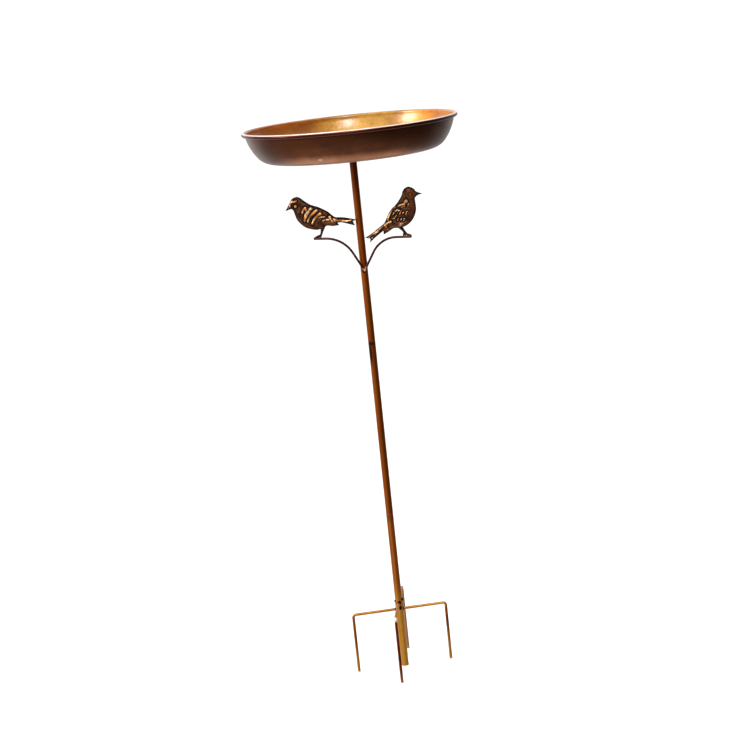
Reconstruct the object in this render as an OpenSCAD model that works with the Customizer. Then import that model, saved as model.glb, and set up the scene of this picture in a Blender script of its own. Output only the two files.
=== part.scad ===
// Ground-stake bird bath: shallow dish on a three-section take-apart pole,
// with two pressed birds on a forked wire perch and a five-point ground fork.
// Units are millimetres. +Z is up. The origin is on the pole's axis at the ground line,
// where the bare spike meets the welded crossing. +X runs along the perch, -Y is the front.

/* [Sub-part] */

/* [Dish] */
// Outside diameter of the rolled lip
dish_d = 290; // [220:5:400]
// Height of the dish from its flat underside to the top of the lip
dish_h = 44; // [42:1:60]
// Sheet thickness of the dish
dish_sheet = 0.8; // [0.6:0.1:1.5]
// Outside radius of the rolled lip
lip_r = 2.9; // [2:0.1:4]
// Radius of the bend between the floor and the wall
floor_bend_r = 24; // [15:1:30]
// Radius of the bowed wall above that bend
wall_bow_r = 68; // [50:1:120]

/* [Pole] */
// Outside diameter of the pole tube
pole_d = 10; // [8:0.5:16]
// Wall thickness of the pole tube
pole_wall = 1; // [0.8:0.1:1.5]
// Height of the lower joint above the ground line
lower_joint_z = 143.5; // [110:0.5:200]
// Length of the middle section, joint to joint
middle_length = 247.5; // [200:0.5:300]
// Length of the upper section, from its joint to its top
upper_length = 251.5; // [200:0.5:300]
// Length of each plug that slides into the section below
plug_length = 35; // [20:1:50]

/* [Perch] */
// Diameter of the perch wire
wire_d = 3.2; // [2.4:0.1:4]
// Height of the weld where the perch leaves the pole
perch_z = 489.5; // [450:0.5:520]
// Rise of the left arm above that weld
left_rise = 48.7; // [45:0.1:60]
// Rise of the right arm above that weld
right_rise = 41; // [40:0.1:55]

/* [Birds] */
// Depth of one pressed half at its fullest point
bird_depth = 5; // [3:0.5:8]
// Sheet thickness of the pressed halves
bird_sheet = 1; // [0.8:0.1:1.2]

/* [Ground fork] */
// Length of the bare spike below the ground line
spike_length = 81.5; // [60:0.5:150]
// Diameter of the fork rods
rod_d = 4; // [3:0.1:4.2]
// Distance between the two prongs of the side rod
side_spacing = 132.5; // [100:0.5:180]
// Distance between the two prongs of the front-to-back rod
front_spacing = 130; // [100:0.5:180]
// Turn of the side rod away from square, seen from above
side_rod_turn = 6; // [-10:1:10]
// Turn of the front-to-back rod away from square, seen from above
front_rod_turn = -6; // [-10:1:10]

/* [Hidden] */

$fn = 96;
copper = [0.50, 0.27, 0.13];
bronze = [0.38, 0.20, 0.10];
gold = [0.65, 0.42, 0.20];
zinc = [0.72, 0.73, 0.75];
black = [0.08, 0.08, 0.08];

dish_r = dish_d / 2;
pole_r = pole_d / 2;
bore_r = pole_r - pole_wall;
wire_r = wire_d / 2;
rod_r = rod_d / 2;

// pole: joints, top, and the plugs inside
upper_joint_z = lower_joint_z + middle_length;
pole_top_z = upper_joint_z + upper_length;
tube_chamfer = 0.5;
plug_wall = 0.8;
plug_grip = 30;          // length of a plug pressed into its own tube
slide_clearance = 0.05;  // radial, for every running fit

// dish fixing, an M6 stud
stud_r = 3;
stud_engagement = 13.5;
insert_length = 15;
washer_r = 7;
washer_thickness = 1.5;
boss_r = 17;
boss_thickness = 2;
boss_z = pole_top_z + washer_thickness;
dish_z = boss_z + boss_thickness;

// dish section: a flat floor, two tangent arcs, and a rolled lip
bend_turn = 50;          // slope where the floor bend meets the bowed wall
lip_z = dish_z + dish_h - lip_r;
lip_x = dish_r - lip_r;
lip_hollow_r = lip_r - dish_sheet;
wall_x = lip_x - lip_hollow_r;
lip_neck = 3.1;          // straight neck between the bowed wall and the lip's centre
wall_rise = dish_h - lip_r - lip_neck - floor_bend_r * (1 - cos(bend_turn));
wall_slope = acos(cos(bend_turn) - wall_rise / wall_bow_r);
floor_r = wall_x - floor_bend_r * sin(bend_turn)
  - wall_bow_r * (sin(wall_slope) - sin(bend_turn));
bend_centre = [floor_r, dish_z + floor_bend_r];
bow_centre = bend_centre
  - (wall_bow_r - floor_bend_r) * [sin(bend_turn), -cos(bend_turn)];
lip_curl_end = -110;     // where the curled edge stops, measured from +X

// ground fork: the tube is swollen where the two rods are welded through it
swell_r = pole_r + 0.6;
swell_h = 16;
swell_taper = 1;
side_rod_z = 2.9;
front_rod_z = 13.3;
rod_bend_r = 4;
rod_hole_r = rod_r + 0.1;
rod_weld_r = 2.7;

// perch: both arms leave one weld on the front of the pole
perch_y = -pole_r - wire_r;
perch_x = 0.5;
left_bend_r = 42.5;
right_bend_r = 35;
left_slope = 62.5;
right_slope = 59;
left_run_slope = 5;      // the left arm still climbs a little past its bend
right_run_slope = -4.5;  // the right arm sinks a little past its bend
left_run = 16.5;
right_run = 20.5;
wire_joint_d = wire_d + 0.06;
perch_elbow_d = 4;       // the wire is upset where it is bent back on itself, under the weld
perch_weld_r = 3.6;
perch_weld_inset = 0.6;  // how far the bead's centre lies behind the wire's
weld_gap = 0.05;         // keeps the bead and the wire it grips separate solids

// birds: each origin is on the wire's centre line under the feet
left_bird_x = -55;
right_bird_x = 62;
swell_steps = 5;
edge_round = 9;          // how far in from its outline a half reaches full depth
leg_d = 2.6;
ankle_d = 2.7;
toe_d = 1.7;
claw_d = 1.9;
leg_spread = 1.4;        // each leg's distance from the bird's middle plane

// Outlines start at the beak and run over the back to the tail. A repeated point is a sharp tip.
left_bird_outline = [
  [-42.4, 41.7], [-42.4, 41.7], [-36, 51], [-32.4, 56.7], [-27, 59.1], [-21.9, 58.2],
  [-13.5, 51.1], [-6.9, 46.5], [1.9, 43], [8.1, 39.4], [14.2, 35.5], [20.2, 29.6],
  [24.5, 26.8], [34.7, 25.5], [51.6, 20.9], [51.6, 20.9], [46.5, 19], [46.5, 19],
  [48.9, 13], [48.9, 13], [41.5, 15.6], [32.1, 18.8], [25.6, 19.4], [25.6, 19.4],
  [27.9, 15.6], [27.9, 15.6], [18.7, 15.4], [11.5, 16.7], [7.3, 14.5], [-0.1, 12.6],
  [-5.3, 12.8], [-11.6, 14.5], [-17.9, 17.4], [-23.2, 22.3], [-27.8, 28.6], [-30.1, 36.2],
  [-31.6, 41.5], [-34.5, 43.6]
];
right_bird_outline = [
  [25.8, 56], [25.8, 56], [17.9, 59.6], [15.5, 63.2], [9.1, 67], [3.4, 65.6],
  [-0.3, 61.5], [-1.9, 56.7], [-5.3, 51.4], [-10.9, 44.8], [-17.1, 39.7], [-22.1, 33.5],
  [-26.3, 25.5], [-30.2, 20.4], [-38.6, 15], [-46.5, 9.6], [-56.4, 4.4], [-56.4, 4.4],
  [-49.3, 2.6], [-49.3, 2.6], [-50.8, -2.8], [-50.8, -2.8], [-42.5, 3.6], [-31.1, 11.4],
  [-31.1, 11.4], [-31, 6.3], [-31, 6.3], [-24, 9.5], [-17.4, 13.3], [-12.4, 13.3],
  [-2.7, 14.1], [5.5, 18.3], [11.8, 25.5], [15.6, 35.3], [15.6, 46.5], [15.5, 51],
  [19.5, 54.4]
];
left_wing = [
  [-22, 42], [-12, 44], [4, 36], [16, 29], [26, 23], [10, 21], [-6, 19], [-18, 26]
];
right_wing = [
  [6, 46], [10, 36], [6, 26], [-6, 20], [-20, 17], [-27, 17], [-18, 32], [-6, 44]
];
left_eye = [-27.9, 47.1];
right_eye = [10.4, 56.5];

// height of the wire's centre line under each bird
left_foot_z = perch_z + left_rise + 0.7;
right_foot_z = perch_z + right_rise - 1.1;

// points on an arc, from angle a0 to a1 in n steps
function arc(centre, r, a0, a1, n) =
  [for (i = [0 : n]) let (a = a0 + (a1 - a0) * i / n) centre + r * [cos(a), sin(a)]];

// one point of a smooth curve that runs from b to c
function curve_point(a, b, c, d, t) =
  0.5 * (2 * b + (c - a) * t + (2 * a - 5 * b + 4 * c - d) * t * t
  + (3 * b - a - 3 * c + d) * t * t * t);

// a closed smooth curve through the points p, n steps each, sharp at repeated points
function smooth(p, n) = let (m = len(p)) [
  for (i = [0 : m - 1]) if (p[i] != p[(i + 1) % m])
    for (k = [0 : n - 1])
      curve_point(p[(i + m - 1) % m], p[i], p[(i + 1) % m], p[(i + 2) % m], k / n)
];

// a solid of revolution about Z from a closed list of [radius, height] points
module turned(points, sides = $fn) {
  rotate_extrude($fn = sides) polygon(points);
}

// a ring about Z between two radii and two heights
module ring(inner_r, outer_r, z0, z1) {
  turned([[inner_r, z0], [outer_r, z0], [outer_r, z1], [inner_r, z1]]);
}

// a pole tube with its outer edges broken
module tube(z0, z1) {
  turned([
    [bore_r, z0], [pole_r - tube_chamfer, z0], [pole_r, z0 + tube_chamfer],
    [pole_r, z1 - tube_chamfer], [pole_r - tube_chamfer, z1], [bore_r, z1]
  ]);
}

// a plug: pressed into the tube above joint_z, and a sliding fit in the tube below it
module plug(joint_z) {
  slide_r = bore_r - slide_clearance;
  turned([
    [bore_r - plug_wall, joint_z - plug_length], [slide_r - tube_chamfer, joint_z - plug_length],
    [slide_r, joint_z - plug_length + tube_chamfer], [slide_r, joint_z],
    [bore_r, joint_z], [bore_r, joint_z + plug_grip], [bore_r - plug_wall, joint_z + plug_grip]
  ]);
}

// a round bar between two points in the XZ plane, cut square at both ends
module bar(from, to, d) {
  run = to - from;
  translate([from[0], 0, from[1]]) rotate([0, atan2(run[0], run[1]), 0])
    cylinder(h = norm(run), d = d, $fn = 32);
}

// a ball at a point in the XZ plane
module ball(at, d) {
  translate([at[0], 0, at[1]]) sphere(d = d, $fn = 32);
}

// a bent round bar in the XZ plane: centre, bend radius, bar radius, start angle and turn
module bend(centre, bend_r, r, start, turn) {
  translate([centre[0], 0, centre[1]]) rotate([90, 0, 0]) rotate([0, 0, start])
    rotate_extrude(angle = turn) translate([bend_r, 0]) circle(r, $fn = 32);
}

// ---- dish ----

module dish() {
  color(copper) turned(concat(
    [[0, dish_z]],
    arc(bend_centre, floor_bend_r, -90, -90 + bend_turn, 10),
    arc(bow_centre, wall_bow_r, -90 + bend_turn, -90 + wall_slope, 10),
    arc([lip_x, lip_z], lip_hollow_r, 180, lip_curl_end, 20),
    arc([lip_x, lip_z], lip_r, lip_curl_end, 180, 20),
    arc(bow_centre, wall_bow_r - dish_sheet, -90 + wall_slope, -90 + bend_turn, 10),
    arc(bend_centre, floor_bend_r - dish_sheet, -90 + bend_turn, -90, 10),
    [[0, dish_z + dish_sheet]]
  ), 180);
}

module dish_boss() {
  color(bronze) ring(stud_r, boss_r, boss_z, dish_z);
}

module dish_stud() {
  stud_bottom_z = pole_top_z - stud_engagement;
  color(zinc) turned([
    [0, stud_bottom_z], [stud_r - tube_chamfer, stud_bottom_z],
    [stud_r, stud_bottom_z + tube_chamfer], [stud_r, dish_z], [0, dish_z]
  ]);
}

module dish_washer() {
  color(black) ring(stud_r + 2 * slide_clearance, washer_r, pole_top_z, boss_z);
}

// ---- upper section ----

module pole_top_insert() {
  color(zinc) ring(stud_r + slide_clearance, bore_r, pole_top_z - insert_length, pole_top_z);
}

module upper_pole() {
  color(copper) tube(upper_joint_z, pole_top_z);
}

module upper_plug() {
  color(zinc) plug(upper_joint_z);
}

// One arm of the perch, drawn rising to +X from the weld: a straight, a bend and an outer run.
module perch_arm(slope, run_slope, rise, bend_r, run) {
  straight = (rise - bend_r * (cos(run_slope) - cos(slope))) / sin(slope);
  bend_from = straight * [cos(slope), sin(slope)];
  centre = bend_from + bend_r * [sin(slope), -cos(slope)];
  bend_to = centre + bend_r * [-sin(run_slope), cos(run_slope)];
  bar([0, 0], bend_from, wire_d);
  ball(bend_from, wire_joint_d);
  bend(centre, bend_r, wire_r, 90 + run_slope, slope - run_slope);
  ball(bend_to, wire_joint_d);
  bar(bend_to, bend_to + run * [cos(run_slope), sin(run_slope)], wire_d);
}

module perch_wire() {
  color(bronze) translate([perch_x, perch_y, perch_z]) {
    ball([0, 0], perch_elbow_d);
    perch_arm(right_slope, right_run_slope, right_rise, right_bend_r, right_run);
    mirror([1, 0, 0]) perch_arm(left_slope, left_run_slope, left_rise, left_bend_r, left_run);
  }
}

module perch_weld() {
  color(bronze) difference() {
    translate([perch_x, perch_y + perch_weld_inset, perch_z]) sphere(perch_weld_r, $fn = 48);
    translate([perch_x, perch_y, perch_z]) {
      ball([0, 0], perch_elbow_d + 2 * weld_gap);
      for (slope = [right_slope, 180 - left_slope])
        bar([0, 0], 2 * perch_weld_r * [cos(slope), sin(slope)], wire_d + 2 * weld_gap);
    }
    cylinder(h = pole_top_z, r = pole_r);
  }
}

// ---- birds ----

// A pressed half bird as a solid cushion on the XY plane, its edge rounded in steps.
module cushion(outline, inset, depth) {
  for (i = [1 : swell_steps]) {
    edge_angle = 90 * (i - 1) / swell_steps;
    step_in = inset + edge_round * (1 - cos(edge_angle));
    step_h = depth * sin(90 * i / swell_steps);
    linear_extrude(step_h) offset(delta = -step_in) polygon(smooth(outline, 2));
  }
}

// A hollow pressed half on the XY plane, with a raised wing and eye.
module pressed_half(outline, wing, eye) {
  wing_step = 0.8;
  difference() {
    union() {
      cushion(outline, 0, bird_depth);
      linear_extrude(bird_depth + wing_step) polygon(smooth(wing, 2));
      translate(eye) cylinder(h = bird_depth + wing_step / 2, r = 1.8, $fn = 24);
    }
    cushion(outline, 2 * bird_sheet, bird_depth - bird_sheet);
  }
}

// Stands a half bird up at its place on the perch, facing front (-Y) or back.
module stand_half(x, z, back) {
  translate([x, perch_y, z]) mirror([0, back ? 1 : 0, 0]) rotate([90, 0, 0]) children();
}

// One leg and its forward toe, from the hip down to the wire.
module leg(hip, ankle, toe, y) {
  translate([0, y, 0]) {
    bar(hip, ankle, leg_d);
    ball(ankle, ankle_d);
    bar(ankle, toe, toe_d);
    ball(toe, claw_d);
  }
}

module left_legs_solid() {
  translate([left_bird_x, perch_y, left_foot_z]) {
    leg([5.6, 17.5], [2.4, 5], [-8.2, 1.5], -leg_spread);
    leg([5.2, 17.5], [2.1, 5.2], [1.2, 1.4], leg_spread);
  }
}

module right_legs_solid() {
  translate([right_bird_x, perch_y, right_foot_z]) {
    leg([-8.6, 16.5], [-3.2, 6.5], [-4.6, 1.6], leg_spread);
    leg([-8.8, 16], [0.2, 3.6], [6.2, 1.1], -leg_spread);
  }
}

module left_bird_front() {
  color(gold) difference() {
    stand_half(left_bird_x, left_foot_z, false)
      pressed_half(left_bird_outline, left_wing, left_eye);
    left_legs_solid();
  }
}

module left_bird_back() {
  color(gold) difference() {
    stand_half(left_bird_x, left_foot_z, true)
      pressed_half(left_bird_outline, left_wing, left_eye);
    left_legs_solid();
  }
}

module left_bird_legs() {
  color(bronze) difference() {
    left_legs_solid();
    perch_wire();
  }
}

module right_bird_front() {
  color(gold) difference() {
    stand_half(right_bird_x, right_foot_z, false)
      pressed_half(right_bird_outline, right_wing, right_eye);
    right_legs_solid();
  }
}

module right_bird_back() {
  color(gold) difference() {
    stand_half(right_bird_x, right_foot_z, true)
      pressed_half(right_bird_outline, right_wing, right_eye);
    right_legs_solid();
  }
}

module right_bird_legs() {
  color(bronze) difference() {
    right_legs_solid();
    perch_wire();
  }
}

// ---- middle section ----

module middle_pole() {
  color(copper) tube(lower_joint_z, upper_joint_z);
}

module middle_plug() {
  color(zinc) plug(lower_joint_z);
}

// ---- ground stake ----

// The lower tube: spike, swollen crossing and socket in one length, cross-drilled for the rods.
module lower_pole() {
  color(copper) difference() {
    turned([
      [bore_r, -spike_length], [pole_r - tube_chamfer, -spike_length],
      [pole_r, tube_chamfer - spike_length], [pole_r, 0], [swell_r, swell_taper],
      [swell_r, swell_h - swell_taper], [pole_r, swell_h],
      [pole_r, lower_joint_z - tube_chamfer], [pole_r - tube_chamfer, lower_joint_z],
      [bore_r, lower_joint_z]
    ]);
    rod_line(side_rod_z, side_rod_turn, side_spacing, rod_hole_r);
    rod_line(front_rod_z, 90 + front_rod_turn, front_spacing, rod_hole_r);
  }
}

// the straight part of a fork rod, as a plain bar of radius r
module rod_line(z, turn, spacing, r) {
  rotate([0, 0, turn]) translate([0, 0, z]) rotate([0, 90, 0])
    cylinder(h = spacing - 2 * rod_bend_r, r = r, center = true, $fn = 32);
}

// a fork rod: a crossbar through the pole, bent down at both ends into a prong
module fork_rod(z, turn, spacing) {
  prong_x = spacing / 2;
  tip_z = rod_r - spike_length;
  color(bronze) {
    rod_line(z, turn, spacing, rod_r);
    for (side = [0, 180]) rotate([0, 0, turn + side]) {
      bend([prong_x - rod_bend_r, z - rod_bend_r], rod_bend_r, rod_r, 0, 90);
      translate([prong_x, 0, tip_z]) cylinder(h = z - rod_bend_r - tip_z, r = rod_r, $fn = 32);
      translate([prong_x, 0, tip_z]) sphere(rod_r, $fn = 32);
    }
  }
}

module side_rod() {
  fork_rod(side_rod_z, side_rod_turn, side_spacing);
}

module front_rod() {
  fork_rod(front_rod_z, 90 + front_rod_turn, front_spacing);
}

// the two beads where a rod enters and leaves the pole
module rod_beads(z, turn) {
  for (side = [0, 180]) rotate([0, 0, turn + side]) translate([swell_r, 0, z])
    sphere(rod_weld_r, $fn = 48);
}

module fork_welds() {
  color(bronze) difference() {
    union() {
      rod_beads(side_rod_z, side_rod_turn);
      rod_beads(front_rod_z, 90 + front_rod_turn);
    }
    translate([0, 0, -swell_h]) cylinder(h = 3 * swell_h, r = swell_r);
    rod_line(side_rod_z, side_rod_turn, side_spacing, rod_r);
    rod_line(front_rod_z, 90 + front_rod_turn, front_spacing, rod_r);
  }
}

dish();
dish_boss();
dish_stud();
dish_washer();
pole_top_insert();
upper_pole();
upper_plug();
perch_wire();
perch_weld();
left_bird_front();
left_bird_back();
left_bird_legs();
right_bird_front();
right_bird_back();
right_bird_legs();
middle_pole();
middle_plug();
lower_pole();
side_rod();
front_rod();
fork_welds();
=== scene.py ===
"""Ground-stake bird bath: the visual model over the CAD frame, with its floor, light and camera."""

import math

import bpy
import numpy as np
from mathutils import Matrix, Vector
from mathutils.geometry import delaunay_2d_cdt


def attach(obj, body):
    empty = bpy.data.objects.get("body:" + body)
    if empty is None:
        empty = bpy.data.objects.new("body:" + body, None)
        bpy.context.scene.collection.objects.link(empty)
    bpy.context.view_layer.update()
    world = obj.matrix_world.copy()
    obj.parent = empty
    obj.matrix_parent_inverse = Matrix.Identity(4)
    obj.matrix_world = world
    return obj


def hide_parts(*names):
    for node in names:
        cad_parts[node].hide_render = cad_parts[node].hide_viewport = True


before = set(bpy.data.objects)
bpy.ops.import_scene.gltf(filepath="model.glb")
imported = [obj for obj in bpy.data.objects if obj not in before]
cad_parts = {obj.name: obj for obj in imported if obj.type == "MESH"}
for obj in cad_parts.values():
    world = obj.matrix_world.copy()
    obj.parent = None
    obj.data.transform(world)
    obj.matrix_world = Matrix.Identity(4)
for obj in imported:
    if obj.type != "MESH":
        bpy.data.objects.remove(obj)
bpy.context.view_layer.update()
MM = 0.001


# ---------------------------------------------------------------- sizes, in millimetres unless said

POLE_R = 5.0
BORE_R = 4.0
TUBE_CHAMFER = 0.5
LOWER_JOINT_Z = 143.5
UPPER_JOINT_Z = 391.0
POLE_TOP_Z = 642.5
SPIKE_LENGTH = 81.5
SWELL_R = 5.6
SWELL_H = 16.0

DISH_R = 145.0
DISH_Z = 646.0
DISH_H = 44.0
DISH_SHEET = 0.8
LIP_R = 2.9
LIP_NECK = 3.1
EDGE_WOBBLE = 0.18
FLOOR_BEND_R = 24.0
WALL_BOW_R = 68.0
BEND_TURN = math.radians(50)
CROWN = (18, 7)  # stretches of the lip's arc: those before its crown, and the crown's own, which carries a painted highlight

WIRE_R = 1.6
PERCH = Vector((0.5, -POLE_R - WIRE_R, 489.5))
LEFT_ARM = {"slope": 62.5, "run_slope": 5.0, "rise": 48.7, "bend_r": 42.5, "run": 16.5}
RIGHT_ARM = {"slope": 59.0, "run_slope": -4.5, "rise": 41.0, "bend_r": 35.0, "run": 20.5}

ROD_R = 2.0
ROD_BEND_R = 4.0
SIDE_ROD = {"z": 2.9, "turn": 6.0, "prong_x": 66.25, "bead": (1.6, 2.5, 2.5)}
FRONT_ROD = {"z": 13.3, "turn": 84.0, "prong_x": 65.0, "bead": (2.9, 2.6, 2.7)}

# Spatter round the fork's welds: centre and half size
WELD_SPATTER = [
    ((1.3, -5.2, 5.6), (2.0, 1.5, 3.0)), ((0.7, -8.0, 15.1), (2.5, 2.2, 2.2)),
    ((-4.9, -2.2, 15.8), (1.5, 1.4, 1.3)), ((4.9, -2.0, 17.2), (1.5, 1.4, 2.4)),
]
# The bead behind the perch: centre beside the wire's vertex, half size, and the seed of its lumps
PERCH_BEAD = {"offset": (-0.4, 1.6, 0.3), "stretch": (3.0, 1.8, 3.6), "seed": 9}

# Where one tone gives way to the next, in the finish and in its painted light and shade: two places on an
# axis, in metres
POLE_SHADE_UNDER_DISH = (0.55, 0.64)
GOLDEN_SPIKE = (-0.01, 0.05)
SHELTERED_STEM = (0.132, 0.146)
PALE_BACK_PRONG = (0.02, 0.04)
FLOOR_REFLECTION_BEND = (0.6535, 0.664)
LIP_SHADE = (0.6815, 0.6835)

# How each fork rod is coloured: worn bare up to one height, and golden from another as painted top light,
# in metres, and the two browns of its prongs in between
SIDE_ROD_WEAR_AND_LIGHT = {"worn_below": -0.056, "top_lit_above": 0.004,
             "browns": ((0.36, 0.090, 0.005), (0.22, 0.036, 0.002))}
FRONT_ROD_WEAR_AND_LIGHT = {"worn_below": -0.092, "top_lit_above": 0.016,
              "browns": ((0.18, 0.022, 0.003), (0.085, 0.009, 0.002))}
WORN_FADE = 0.045
TOP_LIT_FADE = 0.008

# Marks in the finish, and spots of painted highlight and shadow: centre and half size
# painted highlight at the bend of the front fork rod
FRONT_BEND_HIGHLIGHT = ((-6.8, -65.5, 10.6), (5, 5, 4.4))
# painted shadow on the tube just below the upper joint
POLE_JOINT_SHADOWS = [((-3.5, -3.5, 374), (4.2, 6, 22)), ((-1, -4, 388), (6, 6, 4))]
DISH_STAINS = [((-33, -135, 672.8), (15, 12, 3.4)), ((14, -138, 670.6), (18, 12, 3.2))]
DISH_VERDIGRIS = ((-40, -115, 654.6), (6, 6, 3.0))

BIRD_DEPTH = 5.0
LEFT_FOOT = Vector((-55.0, PERCH.y, PERCH.z + LEFT_ARM["rise"] + 0.7))
RIGHT_FOOT = Vector((62.0, PERCH.y, PERCH.z + RIGHT_ARM["rise"] - 1.1))

# ---------------------------------------------------------------- node material helpers


class Nodes:
    """Builds a node tree: each method adds a node and returns its output."""

    def __init__(self, tree):
        self.tree = tree

    def link(self, source, target):
        self.tree.links.new(source, target)

    def node(self, kind, inputs=None, **settings):
        made = self.tree.nodes.new(kind)
        for key, value in settings.items():
            setattr(made, key, value)
        for key, value in (inputs or {}).items():
            if hasattr(value, "is_linked"):
                self.link(value, made.inputs[key])
            else:
                made.inputs[key].default_value = value
        return made

    def coords(self, kind="Object", scale=(1, 1, 1)):
        place = self.node("ShaderNodeTexCoord").outputs[kind]
        return self.node("ShaderNodeMapping", {"Vector": place, "Scale": scale}).outputs[0]

    def attribute(self, name):
        return self.node("ShaderNodeAttribute", attribute_name=name).outputs["Fac"]

    def noise(self, vector, scale, detail=4.0, roughness=0.55):
        inputs = {"Vector": vector, "Scale": scale, "Detail": detail, "Roughness": roughness}
        return self.node("ShaderNodeTexNoise", inputs).outputs["Fac"]

    def ramp(self, value, low, high, out_low=0.0, out_high=1.0):
        """Maps low..high onto out_low..out_high, smoothly and clamped."""
        inputs = {
            "Value": value,
            "From Min": low,
            "From Max": high,
            "To Min": out_low,
            "To Max": out_high,
        }
        made = self.node("ShaderNodeMapRange", inputs, interpolation_type="SMOOTHSTEP")
        return made.outputs["Result"]

    def math(self, operation, a, b):
        return self.node("ShaderNodeMath", {0: a, 1: b}, operation=operation).outputs[0]

    def mix(self, factor, a, b):
        """Mixes two colours, each an output or an RGB tuple."""
        made = self.node("ShaderNodeMix", data_type="RGBA")
        for socket, value in ((made.inputs[0], factor), (made.inputs[6], a), (made.inputs[7], b)):
            if hasattr(value, "is_linked"):
                self.link(value, socket)
            elif isinstance(value, tuple):
                socket.default_value = (*value, 1.0)
            else:
                socket.default_value = value
        return made.outputs[2]

    def spot(self, centre, radii, ragged=0.5):
        """1 inside a ragged oval at a place on the object, given in millimetres, fading to 0 outside."""
        place = self.node("ShaderNodeTexCoord").outputs["Object"]
        centre, radii = (tuple(c * MM for c in v) for v in (centre, radii))
        offset = self.node("ShaderNodeVectorMath", {0: place, 1: centre}, operation="SUBTRACT")
        ratio = self.node("ShaderNodeVectorMath", {0: offset.outputs[0], 1: radii}, operation="DIVIDE")
        away = self.node("ShaderNodeVectorMath", {0: ratio.outputs[0]}, operation="LENGTH")
        torn = self.math("MULTIPLY", self.noise(place, 260.0, 3.0), ragged)
        return self.ramp(self.math("ADD", away.outputs["Value"], torn), 0.5, 1.3, 1.0, 0.0)

    def axis(self, name, kind="Object"):
        """One axis of the object's own coordinates in metres, or of a world direction."""
        place = self.node("ShaderNodeTexCoord").outputs[kind]
        return self.node("ShaderNodeSeparateXYZ", {"Vector": place}).outputs[name]


class Surface(Nodes):
    """One metal or plastic finish on a Principled shader."""

    def __init__(self, name):
        self.material = bpy.data.materials.new(name)
        self.material.use_nodes = True
        super().__init__(self.material.node_tree)
        self.shader = self.tree.nodes["Principled BSDF"]

    def bump(self, height, strength, distance):
        inputs = {"Height": height, "Strength": strength, "Distance": distance}
        self.link(self.node("ShaderNodeBump", inputs).outputs[0], self.shader.inputs["Normal"])

    def finish(self, colour, roughness, metallic=1.0, coat=0.0):
        """Joins colour and roughness to the shader; metallic and coat are plain numbers."""
        self.link(colour, self.shader.inputs["Base Color"])
        self.link(roughness, self.shader.inputs["Roughness"])
        self.shader.inputs["Metallic"].default_value = metallic
        self.shader.inputs["Coat Weight"].default_value = coat
        self.shader.inputs["Coat Roughness"].default_value = 0.25
        self.shader.inputs["Coat IOR"].default_value = 1.7
        return self.material


# ---------------------------------------------------------------- materials


def pole_material():
    """Antique copper lacquer on the tube: orange brown, with painted shade darkest under the dish and
    below the upper joint.
    """
    n = Surface("pole_copper")
    drift = n.noise(n.coords(scale=(60, 60, 9)), 1.0, 3.0)
    fine = n.noise(n.coords(scale=(900, 900, 120)), 1.0, 5.0)
    mottle = n.ramp(drift, 0.35, 0.7)
    stem = n.mix(mottle, (0.44, 0.100, 0.006), (0.27, 0.052, 0.004))
    # painted shade: the tube darkens towards the top, under the dish
    top = n.mix(mottle, (0.18, 0.030, 0.004), (0.10, 0.016, 0.003))
    body = n.mix(n.ramp(n.axis("Z"), *POLE_SHADE_UNDER_DISH), stem, top)
    # painted shadow, near black, just below the upper joint
    for centre, radii in POLE_JOINT_SHADOWS:
        body = n.mix(n.math("MULTIPLY", n.spot(centre, radii), 0.92), body, (0.010, 0.006, 0.003))
    specks = n.ramp(fine, 0.60, 0.72, 0.0, 0.6)
    colour = n.mix(specks, body, (0.05, 0.012, 0.004))
    n.bump(fine, 0.10, 0.0004)
    return n.finish(colour, n.ramp(drift, 0.3, 0.75, 0.28, 0.44), coat=0.05)


def stake_material():
    """The same lacquer on the ground stake: golden on the spike, streaked, and dark under the joint."""
    n = Surface("stake_copper")
    streaks = n.noise(n.coords(scale=(260, 260, 7)), 1.0, 4.0)
    fine = n.noise(n.coords(scale=(900, 900, 120)), 1.0, 5.0)
    spike_gold = n.mix(n.ramp(streaks, 0.42, 0.62), (0.62, 0.29, 0.035), (0.48, 0.165, 0.008))
    stem = n.mix(n.ramp(streaks, 0.42, 0.62), (0.42, 0.125, 0.012), (0.26, 0.058, 0.004))
    colour = n.mix(n.ramp(n.axis("Z"), *GOLDEN_SPIKE), spike_gold, stem)
    ragged_height = n.math("ADD", n.axis("Z"), n.math("MULTIPLY", streaks, 0.01))
    sheltered = n.ramp(ragged_height, *SHELTERED_STEM)
    colour = n.mix(n.math("MULTIPLY", sheltered, 0.7), colour, (0.16, 0.035, 0.004))
    colour = n.mix(n.ramp(fine, 0.60, 0.72, 0.0, 0.4), colour, (0.12, 0.03, 0.006))
    n.bump(fine, 0.10, 0.0004)
    return n.finish(colour, n.ramp(streaks, 0.3, 0.75, 0.36, 0.50), metallic=0.8)


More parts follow.
